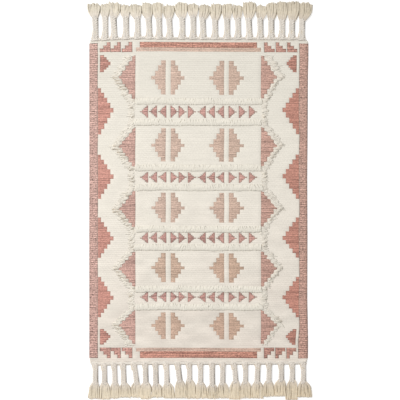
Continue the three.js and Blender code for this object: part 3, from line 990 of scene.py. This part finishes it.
def add_fan(strands, tassel, end, cut, rng):
    """A tassel's fan: loose yarns in layers, opening out of the stalk like a trumpet."""
    along = FAN_STATIONS
    order = (np.arange(FAN_YARNS) + 0.5) / FAN_YARNS
    layer = np.arange(FAN_YARNS) % FAN_LAYERS
    tip_x = tassel.left + order * (tassel.right - tassel.left) + rng.normal(0, 1.2, FAN_YARNS)
    root_x = tassel.neck + (2 * order - 1) * FAN_NECK_HALF_WIDTH + rng.normal(0, 0.4, FAN_YARNS)
    x = root_x[:, None] + (tip_x - root_x)[:, None] * fan_opening(cut, along)
    bend = rng.normal(0, 1.1, FAN_YARNS)[:, None]
    x = x + bend * np.sin(1.6 * math.pi * along + rng.uniform(0, 3, FAN_YARNS)[:, None]) * along
    rounding = cut.rounding * np.abs(2 * order - 1) ** 4
    reach = tassel.length - rounding + rng.normal(0, cut.raggedness, FAN_YARNS) - 0.8 * (2 - layer)
    start = cut.stalk_length + tassel.later - 3
    y = end * (TASSEL_BASE + start + (reach - start)[:, None] * along)
    lying = 1.4 + 1.3 * layer + rng.uniform(-0.2, 0.2, FAN_YARNS)
    bundled = 3.8 + 2 * (layer - 1) + rng.uniform(-0.3, 0.3, FAN_YARNS)
    arch = 1.2 * np.sin(math.pi * along) * layer[:, None] / 2
    z = bundled[:, None] + (lying - bundled)[:, None] * along + arch
    radii = rng.uniform(1.2, 1.5, FAN_YARNS)[:, None] * (1 + 0.3 * along)
    radii[:, -1] *= 0.4
    light = np.interp(tassel.root, FANS_ACROSS, cut.light) * rng.normal(1, 0.015)
    tones = np.outer(light * rng.normal(1, 0.03, FAN_YARNS), cut.tones)
    strands.add(as_points(x, y, z), radii, tones, YARN_SIDES, material=FAN, flatness=0.7)


def add_shade_strand(strands, tassel, end, cut):
    """A dark strand of painted shade down the right side of a tassel, away from the light."""
    stalk_length = cut.stalk_length + tassel.later
    fan_length = tassel.length - stalk_length
    top = -2 - sag(tassel.root, end, EDGE_SAGS)
    along = np.linspace(top, stalk_length + 0.55 * fan_length, 24)
    neck = tassel.root + (tassel.neck - tassel.root) * grown(along, stalk_length)
    opened = fan_opening(cut, grown(along - stalk_length, fan_length))
    out = cut.braid_half_width + 2.1
    x = neck + out + (tassel.right - tassel.neck - out) * opened
    path = as_points(x, end * (TASSEL_BASE + along), 2.2)
    strands.add(path, SHADE_STRAND_RADIUS, 0.66, material=STALK)


def add_stray_lock(strands, tassel, end, side):
    """A thin lock of yarns that curls out past one corner of a tassel's fan."""
    along = np.linspace(0, 1, 12)
    for yarn in range(STRAY_LOCK_YARNS):
        x = tassel.neck + side * (3 + 8.5 * along**3 + 1.2 * yarn * (1 - 0.5 * along))
        y = end * (TASSEL_BASE + 60 + (36 - 1.5 * yarn) * along)
        z = 6.5 + 1.3 * along - 0.4 * yarn
        strands.add(as_points(x, y, z), np.where(along < 1, 1.3, 0.52), 0.92, material=FAN)


def tie_fringe(name, tassels, end, cords, cut, materials):
    """The fringe of one end: its heading and its tassels."""
    rng = np.random.default_rng(300 + end)
    strands = Strands()
    tassels = [Tassel(*row) for row in tassels]
    add_heading(strands, tassels, end, cords)
    for tassel in tassels:
        add_stalk(strands, tassel, end, cut, rng)
        add_fan(strands, tassel, end, cut, rng)
        add_shade_strand(strands, tassel, end, cut)
    if end > 0:
        add_stray_lock(strands, tassels[STRAY_LOCK_TASSEL], end, -1)
    fringe = strands.made_into(f"{name}_yarns", materials)
    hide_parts(name)
    return fringe


class Value:
    """A number or a colour that a shader node gives. Numbers take the signs + - * and /."""

    def __init__(self, socket):
        self.socket = socket
        self.tree = socket.id_data

    def __add__(self, other):
        return maths("ADD", self, other)

    def __sub__(self, other):
        return maths("SUBTRACT", self, other)

    def __rsub__(self, other):
        return maths("SUBTRACT", other, self)

    def __mul__(self, other):
        return maths("MULTIPLY", self, other)

    def __truediv__(self, other):
        return maths("DIVIDE", self, other)


def fill(node, inputs):
    """Fills a node's inputs, by name or number, with numbers, colours or other nodes' values."""
    for name, value in inputs.items():
        if isinstance(value, Value):
            value.tree.links.new(value.socket, node.inputs[name])
        else:
            node.inputs[name].default_value = value


def new_value(tree, kind, output, inputs, **settings):
    """What a new shader node gives, once it has its settings and its inputs."""
    node = tree.nodes.new("ShaderNode" + kind)
    for name, setting in settings.items():
        setattr(node, name, setting)
    fill(node, inputs)
    return Value(node.outputs[output])


def maths(operation, *values):
    tree = next(value.tree for value in values if isinstance(value, Value))
    return new_value(tree, "Math", 0, dict(enumerate(values)), operation=operation)


def object_place(tree):
    return new_value(tree, "TexCoord", "Object", {})


def noise(tree, grain, detail=2.0, roughness=0.5):
    """Noise from 0 to 1 whose grains have the given size in millimetres across, along and up."""
    scale = [1 / (size * MM) for size in grain]
    place = new_value(tree, "Mapping", 0, {"Scale": scale, "Vector": object_place(tree)})
    inputs = {"Scale": 1, "Detail": detail, "Roughness": roughness, "Vector": place}
    return new_value(tree, "TexNoise", "Fac", inputs)


def attribute(tree, name, output="Fac"):
    return new_value(tree, "Attribute", output, {}, attribute_name=name)


def mixed(tree, blend, share, first, second):
    inputs = {"Factor": share, "A": first, "B": second}
    return new_value(tree, "Mix", "Result", inputs, data_type="RGBA", blend_type=blend)


def tinted(colour, share, tint):
    """A colour multiplied by a tint, as far as the share says."""
    return mixed(colour.tree, "MULTIPLY", share, colour, (*tint, 1))


def shaded(colour, factor):
    """A colour made lighter or darker by a factor."""
    inputs = {0: colour, "Scale": factor}
    return new_value(colour.tree, "VectorMath", 0, inputs, operation="SCALE")


def parted(vector):
    """The three numbers of a vector."""
    return [new_value(vector.tree, "SeparateXYZ", axis, {0: vector}) for axis in "XYZ"]


def painted(name, roughness, specular):
    """A new matt material, its node tree and its shader."""
    material = bpy.data.materials.new(name)
    material.use_nodes = True
    shader = material.node_tree.nodes["Principled BSDF"]
    fill(shader, {"Roughness": roughness, "Specular IOR Level": specular})
    return material, material.node_tree, shader


def cotton(name):
    """A cotton material, still without its colour and relief."""
    material, tree, shader = painted(name, 0.92, 0.2)
    fill(shader, {"Sheen Weight": 0.12, "Sheen Roughness": 0.6})
    return material, tree, shader


def relief(height, depth):
    """Bump of the given depth in millimetres."""
    return new_value(height.tree, "Bump", "Normal", {"Distance": depth * MM, "Height": height})


# The warps that the wefts bead over, and how deep their relief is
WARP_PITCH = 3.7
WEFT_RELIEF = 0.3
# How much the cloth's tone changes from patch to patch at its top end, and how much more towards
# its bottom end, as painted light and shade of soft creases
PATCHINESS = 0.08
CREASE_SHADING = 0.38
# What the wefts' colour is multiplied by: in the browner parts of flecked yarn, in the slits
# between colours as painted shade, and where the cloth has turned rosy, towards its bottom end
BROWNING = (0.82, 0.93, 0.86)
SLIT_SHADE_TINT = (0.42, 0.4, 0.37)
BLUSH = (1, 0.91, 0.91)


def woven_cotton():
    """The ground cloth: flecked wefts that bead where they pass over the warps, with painted shade
    between the beads, in the grooves and slits, and painted light and shade of soft creases below.
    """
    material, tree, shader = cotton("woven_cotton")
    across, up, _ = parted(object_place(tree))
    from_end = up - (float(ORIGIN[1]) - CLOTH_LENGTH / 2 * MM)
    rib = maths("FLOOR", from_end / (RIB_PITCH * MM))
    warp = across / (WARP_PITCH * MM) + noise(tree, (25, 40, 40)) * 1.6
    bead = maths("ABSOLUTE", maths("SINE", (warp + rib * 0.5) * math.pi))
    fleck = attribute(tree, "fleck")
    specks = (noise(tree, (4.5, 3, 4), 2, 0.6) - 0.5) * 1.9
    streaks = noise(tree, (32, 2.8, 4), 2, 0.5) - 0.5
    down = 1 - from_end / (CLOTH_LENGTH * MM)
    far_down = down * down
    patches = noise(tree, (60, 26, 30)) - 0.5
    # Painted light and shade of soft creases, stronger towards the bottom end
    tone = patches * (far_down * CREASE_SHADING + PATCHINESS) + 1
    tone = tone + (specks + streaks) * fleck * 1.6
    # Painted shade in the grooves between ribs, in slits and along the selvedges
    tone = tone * (1 - attribute(tree, "groove") * (fleck * 0.5))
    # A little painted shade between the beads
    tone = tone * (bead * 0.04 + 0.97)
    colour = shaded(attribute(tree, "yarn", "Color"), tone)
    colour = tinted(colour, noise(tree, (7, 3, 4), 1) * fleck, BROWNING)
    # Painted shade in the slits between colours
    colour = tinted(colour, attribute(tree, "slit"), SLIT_SHADE_TINT)
    colour = tinted(colour, noise(tree, (170, 90, 90)) * far_down, BLUSH)
    fibres = noise(tree, (2.5, 0.5, 0.5), 3, 0.7) * 0.5
    fill(shader, {"Base Color": colour, "Normal": relief(bead + fibres, WEFT_RELIEF)})
    return material


PILE_COLOUR = linear(232, 226, 213)
ZIGZAG_COLOUR = linear(236, 229, 216)
STALK_COLOUR = linear(244, 236, 225)
BOTTOM_STALK_COLOUR = linear(243, 233, 221)
TOP_FAN_NECK_COLOUR = linear(229, 219, 208)
TOP_FAN_COLOUR = linear(226, 217, 199)
BOTTOM_FAN_NECK_COLOUR = linear(222, 212, 200)
BOTTOM_FAN_COLOUR = linear(231, 218, 195)
# What the zigzags' yarn is multiplied by where it lies in the shade of other yarn, and the fans'
# yarn at the right side of the rug
SHADE_TINT = (1, 0.92, 0.82)
DEEPENING = (0.97, 0.94, 0.9)

# Yarn twists: the number of plies, how far along a strand they go once round it, how deep their
# grooves are and how much painted shade lies in them, and how mottled the yarn is
Twist = namedtuple("Twist", "plies pitch depth shade mottle")
PILE_TWIST = Twist(2, 7, 0.2, 0.04, 0.05)
ZIGZAG_TWIST = Twist(2, 8, 0.3, 0.08, 0.2)
HEADING_TWIST = Twist(3, 9, 0.5, 0.2, 0.1)
STALK_TWIST = Twist(6, 34, 0.9, 0.2, 0.25)
FAN_TWIST = Twist(2, 6, 0.25, 0.06, 0.35)
# The length over which yarn changes colour as it comes loose
LOOSENING = 24


def plied_cotton(name, colour, twist, loose_colour=None, deepening=(1, 1, 1), shade_tint=(1, 1, 1)):
    """Yarn of twisted plies. Its colour can change over the first part of a strand, where the
    yarn comes loose, towards the right side of the rug, and where painted shade darkens the
    strand's tone."""
    material, tree, shader = cotton(name)
    right, ahead, _ = parted(attribute(tree, "around", "Vector"))
    angle = maths("ARCTAN2", ahead, right)
    along = attribute(tree, "along")
    turn = (angle + along * (2 * math.pi / twist.pitch)) * (twist.plies / 2)
    crest = maths("ABSOLUTE", maths("SINE", turn))
    fuzz = noise(tree, (1.4, 1.4, 1.4), 3, 0.7)
    patches = noise(tree, (28, 28, 28)) - 0.5
    mottle = noise(tree, (5, 5, 5)) - 0.5
    strand_tone = attribute(tree, "tone")
    # Painted shade in the plies' grooves, and a little painted light on their crests
    tone = strand_tone * (crest * twist.shade + (1 - 0.7 * twist.shade))
    tone = tone * (patches * 0.12 + 0.97) * (fuzz * 0.12 + 0.94) * (mottle * twist.mottle + 1)
    loose = maths("MINIMUM", along / LOOSENING, 1)
    dye = mixed(tree, "MIX", loose, (*colour, 1), (*(loose_colour or colour), 1))
    across = parted(object_place(tree))[0]
    dye = tinted(dye, across / (CLOTH_WIDTH * MM) + 0.5, deepening)
    darkness = maths("MINIMUM", maths("MAXIMUM", (1 - strand_tone) * 3, 0), 1)
    dye = tinted(dye, darkness, shade_tint)
    normal = relief(crest + fuzz * 0.6, twist.depth)
    fill(shader, {"Base Color": shaded(dye, tone), "Normal": normal})
    return material


def floor_paint():
    """A plain pale floor, very slightly uneven and a little lit from below."""
    material, tree, shader = painted("pale_floor", 0.9, 0.1)
    pale, less_pale = (0.66, 0.66, 0.66, 1), (0.65, 0.65, 0.65, 1)
    colour = mixed(tree, "MIX", noise(tree, (700, 700, 700)), pale, less_pale)
    light = {"Emission Color": (1, 1, 1, 1), "Emission Strength": 0.5}
    fill(shader, {"Base Color": colour, **light})
    return material


def lay_floor():
    bpy.ops.mesh.primitive_plane_add(size=8, location=(0, 0, 0))
    floor = bpy.context.object
    floor.name = "floor"
    floor.data.materials.append(floor_paint())
    return floor


# The photograph's frame, straight from above: how wide it is and where its middle lies on the
# rug, and the lens and sensor of a camera that sees it from afar
FRAME_WIDTH = 1096
FRAME_CENTRE = (4.2, 1.1)
LENS = 135
SENSOR = 36


def place_camera():
    """A long lens straight above the rug."""
    data = bpy.data.cameras.new("camera")
    data.lens = LENS
    data.sensor_width = SENSOR
    camera = put_in_scene("camera", data)
    centre = into_frame([*FRAME_CENTRE, 0])
    height = FRAME_WIDTH * MM * LENS / SENSOR
    camera.location = (centre[0], centre[1], height)
    bpy.context.scene.camera = camera


def add_softbox(name, place, aim, size, power):
    """A square studio light that faces a point on the floor."""
    data = bpy.data.lights.new(name, "AREA")
    data.size = size
    data.energy = power
    light = put_in_scene(name, data)
    light.location = place
    light.rotation_mode = "QUATERNION"
    light.rotation_quaternion = (Vector(aim) - Vector(place)).to_track_quat("-Z", "Y")


def light_studio():
    """Bright even surroundings, and one soft key from the upper left. It is aimed low, so that
    it lights both ends of the rug alike."""
    world = bpy.data.worlds.new("studio")
    world.use_nodes = True
    fill(world.node_tree.nodes["Background"], {"Color": (1, 1, 1, 1), "Strength": 0.54})
    bpy.context.scene.world = world
    add_softbox("key", place=(-2.4, 1.6, 3.4), aim=(0, -2.4, 0), size=1.1, power=142)
    bpy.context.scene.view_settings.view_transform = "Standard"


place_camera()
light_studio()
floor = lay_floor()

pile = plied_cotton("pile_cotton", PILE_COLOUR, PILE_TWIST)
zigzag_pile = plied_cotton("zigzag_cotton", ZIGZAG_COLOUR, ZIGZAG_TWIST, shade_tint=SHADE_TINT)
heading_cotton = plied_cotton("heading_cotton", STALK_COLOUR, HEADING_TWIST)
top_fringe_cottons = [
    heading_cotton,
    plied_cotton("stalk_cotton", STALK_COLOUR, STALK_TWIST),
    plied_cotton("top_fan_cotton", TOP_FAN_NECK_COLOUR, FAN_TWIST, TOP_FAN_COLOUR, DEEPENING),
]
bottom_fringe_cottons = [
    heading_cotton,
    plied_cotton("bottom_stalk_cotton", BOTTOM_STALK_COLOUR, STALK_TWIST),
    plied_cotton(
        "bottom_fan_cotton", BOTTOM_FAN_NECK_COLOUR, FAN_TWIST, BOTTOM_FAN_COLOUR, DEEPENING
    ),
]

ground_cloth = weave_ground_cloth(woven_cotton())
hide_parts("ground_cloth")
dressings = [
    knot_cross_band(name, edge, seed, pile)
    for seed, (name, edge) in enumerate(zip(BAND_NAMES, BAND_LOWER_EDGES))
]
dressings += [
    knot_zigzag("pile_zigzag_left", -1, zigzag_pile),
    knot_zigzag("pile_zigzag_right", 1, zigzag_pile),
    tie_fringe("fringe_top", TOP_TASSELS, 1, TOP_CORDS, TOP_CUT, top_fringe_cottons),
    tie_fringe(
        "fringe_bottom", BOTTOM_TASSELS, -1, BOTTOM_CORDS, BOTTOM_CUT, bottom_fringe_cottons
    ),
]

for piece in [ground_cloth, *dressings]:
    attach(piece, "root")
